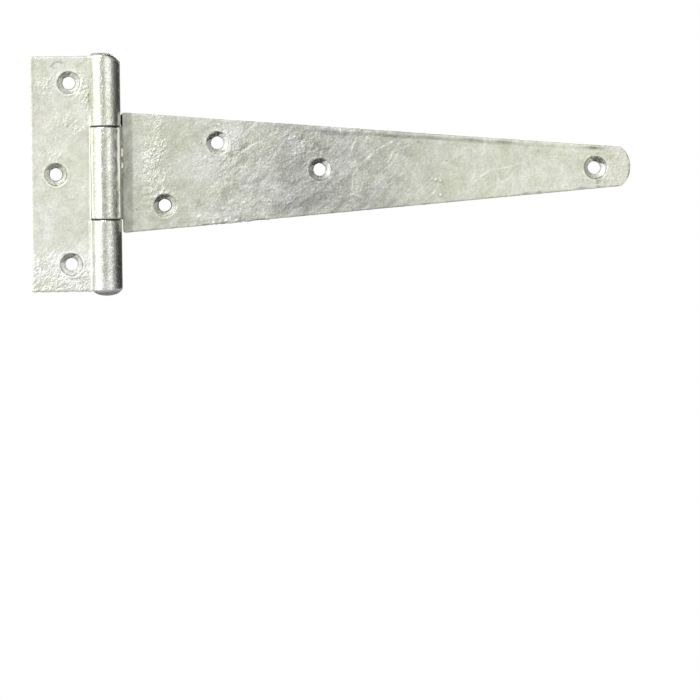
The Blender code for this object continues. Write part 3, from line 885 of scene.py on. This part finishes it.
def zinc(name, along_x, streaks, base_rough, specks, holes=(), busy=None, painted_gap_shade=None):
    """Weathered hot-dip zinc. along_x is a list of (x in mm, colour) for the slow change of tone along the piece."""
    mat = bpy.data.materials.new(name)
    mat.use_nodes = True
    k = Nodes(mat.node_tree)
    bsdf = mat.node_tree.nodes["Principled BSDF"]
    coords = k.add("ShaderNodeTexCoord").outputs["Object"]
    axes = k.add("ShaderNodeSeparateXYZ")
    k.link(coords, axes.inputs[0])
    x_mm = k.math("MULTIPLY", axes.outputs[0], 1000.0)
    y_mm = k.math("MULTIPLY", axes.outputs[1], 1000.0)
    z_mm = k.math("MULTIPLY", axes.outputs[2], 1000.0)
    # how far from the pin's axis: the knuckles are rubbed smoother than the plates
    dy = k.math("ADD", y_mm, BARREL_R)
    r = k.math(
        "SQRT", k.math("ADD", k.math("MULTIPLY", x_mm, x_mm), k.math("MULTIPLY", dy, dy))
    )
    plate = k.smooth(r, 8.9, 9.7)
    shade = k.add("ShaderNodeAttribute", attribute_name="shade").outputs["Fac"]
    lumpy = k.add("ShaderNodeAttribute", attribute_name="lumpy").outputs["Fac"]

    low, high = along_x[0][0], along_x[-1][0]
    wander = k.math("MULTIPLY", k.math("SUBTRACT", k.noise(coords, 28.0, 2.0), 0.5), 60.0)
    at = k.math("DIVIDE", k.math("SUBTRACT", k.math("ADD", x_mm, wander), low), high - low)
    tone = k.ramp(at, [((x - low) / (high - low), c) for x, c in along_x])

    cool = k.math("ADD", k.math("MULTIPLY", k.smooth(z_mm, 5.0, -60.0), 0.06), 1.0)
    blue = k.add("ShaderNodeCombineColor")
    k.link(cool, blue.inputs[2])
    for slot in (0, 1):
        blue.inputs[slot].default_value = 1.0
    tone = k.mix(k.smooth(x_mm, 9.0, 8.0), tone, k.mix(1.0, tone, blue.outputs[0], "MULTIPLY"))
    # clouds: warm green-grey against cool violet-grey
    clouds = k.noise(coords, 62.0, 4.0, 0.55, 0.8)
    colour = k.mix(
        k.smooth(clouds, 0.36, 0.66),
        k.mix(1.0, tone, (0.93, 0.935, 0.885), "MULTIPLY"),
        k.mix(1.0, tone, (1.04, 1.035, 1.06), "MULTIPLY"),
    )
    # blotches of a few millimetres and fine mottle
    blotch = k.noise(coords, 190.0, 4.0, 0.6, 0.5)
    colour = k.mix(
        1.0,
        colour,
        k.mix(k.smooth(blotch, 0.34, 0.66), (0.92, 0.92, 0.905), (1.05, 1.05, 1.05)),
        "MULTIPLY",
    )
    mottle = k.noise(coords, 850.0, 4.0, 0.68)
    colour = k.mix(
        1.0,
        colour,
        k.mix(k.smooth(mottle, 0.32, 0.68), (0.90, 0.90, 0.885), (1.05, 1.05, 1.05)),
        "MULTIPLY",
    )
    # the rubbed knuckles look grainier
    speckle = k.noise(coords, 1150.0, 3.0, 0.7)
    colour = k.mix(
        k.math("SUBTRACT", 1.0, plate),
        colour,
        k.mix(
            1.0, colour, k.mix(k.smooth(speckle, 0.34, 0.64), (0.87, 0.87, 0.865), (1.10, 1.10, 1.11)), "MULTIPLY"
        ),
    )
    # painted light and shade: crystals and crinkles, each painted bright on its side towards the key light and dark on
    # the side away from it
    painted_emboss = k.math(
        "SUBTRACT",
        k.noise(coords, 800.0, 2.0, 0.55),
        k.noise(k.mapped(coords, 0.0, (1.0, 1.0, 1.0), (-0.00038, 0.0, 0.00038)), 800.0, 2.0, 0.55),
    )
    gain = k.math("ADD", k.math("MULTIPLY", lumpy, 1.10), k.math("SUBTRACT", 0.32, k.math("MULTIPLY", plate, 0.32)))
    if busy is not None:
        gain = k.math("ADD", gain, k.math("MULTIPLY", busy(k, x_mm, z_mm), 0.45))
    colour = k.mix(1.0, colour, k.math("ADD", k.math("MULTIPLY", painted_emboss, gain), 1.0), "MULTIPLY")
    if busy is not None:
        # swept zinc: thin curling bright lines over darker veils, with finer speckle
        amount = busy(k, x_mm, z_mm)
        swept = k.mapped(coords, 38.0, (0.42, 1.0, 1.0))
        fade = k.smooth(k.noise(coords, 70.0, 2.0, 0.5), 0.40, 0.60)
        curl = k.math("ABSOLUTE", k.math("SUBTRACT", k.noise(swept, 190.0, 5.0, 0.62, 1.2), 0.5))
        thin = k.math("ABSOLUTE", k.math("SUBTRACT", k.noise(swept, 330.0, 4.0, 0.6, 0.8), 0.5))
        bright = k.math(
            "MAXIMUM", k.smooth(curl, 0.035, 0.0), k.math("MULTIPLY", k.smooth(thin, 0.040, 0.0), 0.8)
        )
        bright = k.math("MULTIPLY", k.math("MULTIPLY", bright, amount), k.math("ADD", k.math("MULTIPLY", fade, 0.7), 0.3))
        veil = k.smooth(k.noise(swept, 120.0, 6.0, 0.66, 1.0), 0.52, 0.36)
        fleck = k.smooth(k.noise(coords, 1050.0, 4.0, 0.72), 0.36, 0.64)
        colour = k.mix(
            k.math("MULTIPLY", veil, amount), colour, k.mix(1.0, colour, (0.80, 0.80, 0.80), "MULTIPLY")
        )
        colour = k.mix(
            amount,
            colour,
            k.mix(1.0, colour, k.mix(fleck, (0.80, 0.80, 0.79), (1.14, 1.14, 1.14)), "MULTIPLY"),
        )
        colour = k.mix(bright, colour, k.mix(1.0, colour, (1.24, 1.24, 1.24), "MULTIPLY"))
        # thin dark crinkles between them
        crack = k.math("ABSOLUTE", k.math("SUBTRACT", k.noise(swept, 300.0, 5.0, 0.66, 1.6), 0.5))
        crack = k.math("MULTIPLY", k.smooth(crack, 0.030, 0.004), k.smooth(amount, 0.40, 0.95))
        crack = k.math("MULTIPLY", crack, k.smooth(k.noise(coords, 85.0, 2.0, 0.5), 0.44, 0.58))
        colour = k.mix(crack, colour, k.mix(1.0, colour, (0.70, 0.70, 0.69), "MULTIPLY"))
    # slanting streaks and brushed scratches
    slant = k.mapped(coords, 40.0, (0.16, 1.0, 1.0))
    brushed = k.noise(slant, 420.0, 3.0, 0.6)
    lines = k.smooth(brushed, 0.56, 0.70)
    patch = k.smooth(k.noise(coords, 45.0, 2.0, 0.5), 0.42, 0.60)
    where = k.math("MULTIPLY", streaks(k, x_mm, z_mm), patch)
    colour = k.mix(
        k.math("MULTIPLY", lines, where), colour, k.mix(1.0, colour, (1.22, 1.22, 1.21), "MULTIPLY")
    )
    dark = k.smooth(k.noise(slant, 260.0, 4.0, 0.65), 0.46, 0.30)
    colour = k.mix(
        k.math("MULTIPLY", dark, k.math("MULTIPLY", where, 0.9)),
        colour,
        k.mix(1.0, colour, (0.68, 0.68, 0.70), "MULTIPLY"),
    )
    # pits and specks of dross
    pits = k.smooth(k.noise(coords, 330.0, 2.0, 0.5), 0.29, 0.23)
    colour = k.mix(
        k.math("MULTIPLY", pits, specks), colour, k.mix(1.0, colour, (0.50, 0.50, 0.48), "MULTIPLY")
    )
    # the shade attribute: painted shade in hollows, creases, splits and seams, painted highlights and reflections on
    # ridges, drips and the knuckles, and some darker marks and fields
    colour = k.mix(1.0, colour, shade, "MULTIPLY")
    colour = k.mix(1.0, colour, (0.93, 0.93, 0.92), "DARKEN")
    colour = sunk_holes(k, colour, x_mm, y_mm, z_mm, coords, holes)
    if painted_gap_shade is not None:
        # painted shade: the splits between knuckles, and the gap at the strap's upper shoulder, painted near black to
        # their edges, with little specular
        painted_gap_black = painted_gap_shade(k, x_mm, z_mm, r)
        colour = k.mix(1.0, colour, k.math("SUBTRACT", 1.0, k.math("MULTIPLY", painted_gap_black, 0.97)), "MULTIPLY")
        k.link(
            k.math("MULTIPLY", k.math("SUBTRACT", 1.0, painted_gap_black), 0.5), bsdf.inputs["Specular IOR Level"]
        )
    k.link(colour, bsdf.inputs["Base Color"])

    worn = k.math("MULTIPLY", k.math("SUBTRACT", 1.0, shade, True), 0.35)
    roughness = k.math(
        "ADD",
        k.math("MULTIPLY", k.noise(coords, 90.0, 3.0), 0.10),
        k.math("MULTIPLY", plate, base_rough - 0.26),
    )
    roughness = k.math("ADD", roughness, k.math("MULTIPLY", k.noise(coords, 700.0, 2.0), 0.08))
    roughness = k.math("ADD", roughness, worn)
    roughness = k.math("ADD", roughness, k.math("MULTIPLY", lumpy, 0.06))
    frosted = k.smooth(shade, 1.15, 1.38)
    roughness = k.math("ADD", roughness, k.math("MULTIPLY", frosted, 0.35))
    k.link(k.math("ADD", roughness, 0.05, True), bsdf.inputs["Roughness"])
    metal = k.math("SUBTRACT", 0.98, k.math("MULTIPLY", plate, 0.40))
    k.link(k.math("MULTIPLY", metal, k.math("SUBTRACT", 1.0, k.math("MULTIPLY", frosted, 0.8))), bsdf.inputs["Metallic"])

    fine = k.noise(coords, 1500.0, 3.0, 0.65)
    grain = k.noise(coords, 640.0, 3.0, 0.62)
    mounds = k.noise(k.mapped(coords, 60.0, (0.55, 1.0, 1.0)), 560.0, 2.0, 0.55, 0.5)
    rugged = k.math("ADD", k.math("MULTIPLY", lumpy, 1.5), 0.45)
    on_plate = k.math("SUBTRACT", 1.35, k.math("MULTIPLY", plate, 0.35))
    height = k.math("ADD", k.math("MULTIPLY", fine, 0.5), k.math("MULTIPLY", grain, 0.9))
    height = k.math("ADD", height, k.math("MULTIPLY", mounds, k.math("MULTIPLY", lumpy, 1.6)))
    height = k.math("MULTIPLY", k.math("MULTIPLY", height, rugged), on_plate)
    height = k.math("ADD", height, k.math("MULTIPLY", k.math("MULTIPLY", brushed, where), 0.9))
    bump = k.add("ShaderNodeBump")
    bump.inputs["Strength"].default_value = 0.9
    bump.inputs["Distance"].default_value = 0.00030
    k.link(height, bump.inputs["Height"])
    k.link(bump.outputs[0], bsdf.inputs["Normal"])
    return mat


# painted near black: the splits between the fixed leaf's knuckles
def leaf_painted_gap_shade(k, x, z, r):
    return k.math(
        "MULTIPLY", k.smooth(k.math("ABSOLUTE", z), 26.86, 26.70), k.smooth(r, 9.4, 9.1)
    )


# painted near black: the splits beside the strap's knuckle and the gap at its upper shoulder
def strap_painted_gap_shade(k, x, z, r):
    painted_split_shade = k.math(
        "MULTIPLY", k.smooth(k.math("ABSOLUTE", z), 26.12, 26.28), k.smooth(r, 9.4, 9.1)
    )
    painted_shoulder_shade = k.math("MULTIPLY", k.smooth(z, 26.2, 26.5), k.smooth(z, 33.8, 33.3))
    painted_shoulder_shade = k.math("MULTIPLY", painted_shoulder_shade, k.smooth(x, 9.62, 9.38))
    return k.math("MAXIMUM", painted_split_shade, painted_shoulder_shade)


def strap_busy(k, x, z):
    """How swept and speckled the strap is at x: most from the first third to the middle."""
    node = k.ramp(
        k.math("DIVIDE", x, 300.0),
        [(at / 300, v) for at, v in ((12, 0.30), (36, 0.35), (50, 0.65), (70, 0.85), (85, 1.0), (150, 1.0), (172, 0.60), (190, 0.22), (262, 0.20), (280, 0.38))],
    )
    return node


def leaf_busy(k, x, z):
    return k.math("ADD", k.math("MULTIPLY", k.smooth(z, 30.0, 55.0), 0.14), 0.16)


def leaf_streaks(k, x, z):
    return k.math("MULTIPLY", k.smooth(x, -60.0, -30.0), 0.25)


def strap_streaks(k, x, z):
    up = k.smooth(x, 35.0, 85.0)
    down = k.smooth(x, 215.0, 150.0)
    return k.math("ADD", k.math("MULTIPLY", up, down), 0.12, True)


# ---------------------------------------------------------------- build

leaf = zinc_leaf()
strap = zinc_strap()
pin = zinc_pin()

LEAF_TONES = ((-43.0, lin(226, 227, 216)), (9.0, lin(224, 226, 216)))
STRAP_TONES = (
    (9.0, lin(215, 216, 206)),
    (45.0, lin(208, 210, 199)),
    (75.0, lin(214, 215, 208)),
    (112.0, lin(192, 192, 189)),
    (150.0, lin(196, 197, 190)),
    (180.0, lin(203, 205, 193)),
    (205.0, lin(210, 212, 199)),
    (240.0, lin(218, 220, 207)),
    (300.0, lin(226, 227, 215)),
)
PIN_TONES = ((-10.0, lin(210, 210, 202)), (10.0, lin(206, 206, 199)))

LEAF_SUNK = (
    Sunk(LEAF_HOLES[0], 112, 46, 0.62, 0.42, 0.55, 0.22, -20),
    Sunk(LEAF_HOLES[1], 100, 66, 0.68, 0.62, 0.58, 0.20, 190),
    Sunk(LEAF_HOLES[2], 118, 64, 0.70, 0.34, 0.56, 0.30, 190),
)
STRAP_SUNK = (
    Sunk(STRAP_HOLES[0], 112, 64, 0.95, 0.88, 0.30, 0.40, -5),
    Sunk(STRAP_HOLES[1], 116, 64, 0.95, 0.45, 0.34, 0.75, 10),
    Sunk(STRAP_HOLES[2], 108, 62, 0.95, 0.42, 0.40, 0.80, 12),
    Sunk(STRAP_HOLES[3], 66, 58, 0.88, 0.34, 0.55, 0.75, -15),
)
leaf.data.materials.append(
    zinc("zinc_leaf_look", LEAF_TONES, leaf_streaks, 0.50, 0.5, LEAF_SUNK, leaf_busy, leaf_painted_gap_shade)
)
strap.data.materials.append(
    zinc(
        "zinc_strap_look", STRAP_TONES, strap_streaks, 0.50, 0.7, STRAP_SUNK, strap_busy, strap_painted_gap_shade
    )
)
pin.data.materials.append(zinc("zinc_pin_look", PIN_TONES, leaf_streaks, 0.46, 0.6))

for obj, node, body, slot in (
    (leaf, "fixed_leaf", "post_side", "zinc_leaf"),
    (strap, "strap_leaf", "door_side", "zinc_strap"),
    (pin, "hinge_pin", "post_side", "zinc_pin"),
):
    obj.data.shade_smooth()
    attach(obj, body)
    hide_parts(node)


# ---------------------------------------------------------------- floor, light, camera


def pale_floor():
    bm = bmesh.new()
    bmesh.ops.create_grid(bm, x_segments=8, y_segments=8, size=1.1)
    mesh = bpy.data.meshes.new("floor")
    bm.to_mesh(mesh)
    bm.free()
    obj = bpy.data.objects.new("floor", mesh)
    obj.location = (0.0, 0.0, -0.38)
    bpy.context.scene.collection.objects.link(obj)
    mat = bpy.data.materials.new("pale_floor")
    mat.use_nodes = True
    k = Nodes(mat.node_tree)
    out = mat.node_tree.nodes["Material Output"]
    bsdf = mat.node_tree.nodes["Principled BSDF"]
    bsdf.inputs["Base Color"].default_value = (0.55, 0.55, 0.54, 1.0)
    bsdf.inputs["Roughness"].default_value = 0.9
    glow = k.add("ShaderNodeEmission")
    glow.inputs["Color"].default_value = (1.0, 1.0, 1.0, 1.0)
    glow.inputs["Strength"].default_value = 1.0
    path = k.add("ShaderNodeLightPath")
    blend = k.add("ShaderNodeMixShader")
    k.link(path.outputs["Is Camera Ray"], blend.inputs[0])
    k.link(bsdf.outputs[0], blend.inputs[1])
    k.link(glow.outputs[0], blend.inputs[2])
    k.link(blend.outputs[0], out.inputs["Surface"])
    mesh.materials.append(mat)
    return obj


def studio_world():
    """Seen by the camera it is plain white. As light it is a soft surround, bright from the left and above, dim to the right and below."""
    world = bpy.data.worlds.new("studio")
    world.use_nodes = True
    k = Nodes(world.node_tree)
    for node in list(world.node_tree.nodes):
        world.node_tree.nodes.remove(node)
    out = k.add("ShaderNodeOutputWorld")
    coords = k.add("ShaderNodeTexCoord").outputs["Generated"]
    axes = k.add("ShaderNodeSeparateXYZ")
    k.link(coords, axes.inputs[0])
    azimuth = k.math(
        "ARCTAN2", axes.outputs[0], k.math("MULTIPLY", axes.outputs[1], -1.0)
    )
    around = k.math("ADD", k.math("DIVIDE", azimuth, 2 * math.pi), 0.5)
    stops = (
        (-180, 0.95),
        (-140, 1.00),
        (-126, 2.45),
        (-44, 2.45),
        (-36, 1.05),
        (-28, 0.92),
        (-6, 0.92),
        (4, 1.25),
        (12, 2.00),
        (30, 1.90),
        (40, 1.15),
        (56, 0.55),
        (70, 0.26),
        (84, 0.08),
        (146, 0.07),
        (160, 0.60),
        (180, 0.95),
    )
    ring = k.ramp(around, [((a + 180) / 360, v) for a, v in stops])
    level = k.math("ADD", k.math("MULTIPLY", axes.outputs[2], 0.5), 0.5)
    rise = k.ramp(
        level, [(0.0, 0.30), (0.22, 0.55), (0.36, 1.0), (0.60, 1.0), (0.78, 0.70), (1.0, 0.55)]
    )
    glow = k.mix(1.0, ring, rise, "MULTIPLY")
    light = k.add("ShaderNodeBackground")
    k.link(glow, light.inputs["Color"])
    light.inputs["Strength"].default_value = 0.70
    white = k.add("ShaderNodeBackground")
    white.inputs["Color"].default_value = (1.0, 1.0, 1.0, 1.0)
    white.inputs["Strength"].default_value = 1.0
    path = k.add("ShaderNodeLightPath")
    blend = k.add("ShaderNodeMixShader")
    k.link(path.outputs["Is Camera Ray"], blend.inputs[0])
    k.link(light.outputs[0], blend.inputs[1])
    k.link(white.outputs[0], blend.inputs[2])
    k.link(blend.outputs[0], out.inputs["Surface"])
    bpy.context.scene.world = world


def lamp(name, towards, distance, width, height, power, target=(0.1, 0.0, 0.0)):
    data = bpy.data.lights.new(name, "AREA")
    data.shape = "RECTANGLE"
    data.size, data.size_y = width, height
    data.energy = power
    obj = bpy.data.objects.new(name, data)
    way = Vector(towards).normalized()
    obj.location = Vector(target) + way * distance
    obj.rotation_euler = way.to_track_quat("Z", "Y").to_euler()
    obj.visible_camera = False
    bpy.context.scene.collection.objects.link(obj)
    return obj


def photo_camera():
    """The camera stands straight in front of the pin, 1.15 m off, and the frame is shifted to take in the strap.

    The shift belongs to this one place: a driver drops it when the camera is taken anywhere else.
    """
    data = bpy.data.cameras.new("camera")
    cam = bpy.data.objects.new("camera", data)
    away = 1.15
    per_px = 0.572 * MM
    data.sensor_width = 36.0
    data.lens = away / per_px * 36.0 / 700
    data.clip_start, data.clip_end = 0.01, 60.0
    cam.location = (0.0, -away - PLATE_T * MM, 0.0)
    cam.rotation_euler = (
        (Matrix.Rotation(math.radians(90), 4, "X") @ Matrix.Rotation(math.radians(-0.75), 4, "Z"))
        .to_euler()
    )
    bpy.context.scene.collection.objects.link(cam)
    for path, value in (("shift_x", (350 - 106.3) / 700), ("shift_y", -(350 - 173.0) / 700)):
        driver = data.driver_add(path).driver
        for name, axis in (("px", "LOC_X"), ("py", "LOC_Y"), ("pz", "LOC_Z")):
            var = driver.variables.new()
            var.name = name
            var.type = "TRANSFORMS"
            var.targets[0].id = cam
            var.targets[0].transform_type = axis
            var.targets[0].transform_space = "WORLD_SPACE"
        driver.type = "SCRIPTED"
        driver.expression = (
            f"{value:.6f} if abs(px) + abs(pz) + abs(py + {away + PLATE_T * MM:.6f}) < 0.001 else 0"
        )
    bpy.context.scene.camera = cam
    return cam


pale_floor()
studio_world()
lamp("key", (-0.9, -1.0, 0.95), 1.7, 0.10, 0.5, 17.5)
lamp("back_fill", (0.4, 1.0, 0.6), 1.8, 1.2, 1.2, 14.0)
# a strip that skims the strap's plate from its tip and reaches the side of the knuckle
skim = lamp("skim", (1.0, -0.035, 0.02), 1.6, 0.06, 0.5, 16.0, (0.0, -0.0085, 0.0))
only_strap = bpy.data.collections.new("skimmed")
only_strap.objects.link(strap)
skim.light_linking.receiver_collection = only_strap
skim.visible_glossy = False
photo_camera()

scene = bpy.context.scene
scene.view_settings.view_transform = "Standard"
scene.view_settings.look = "None"
scene.view_settings.exposure = 0.0
scene.view_settings.gamma = 1.0

bpy.context.view_layer.update()
for piece in (leaf, strap, pin):
    piece.data.calc_loop_triangles()
    print("PIECE", piece.name, len(piece.data.loop_triangles))
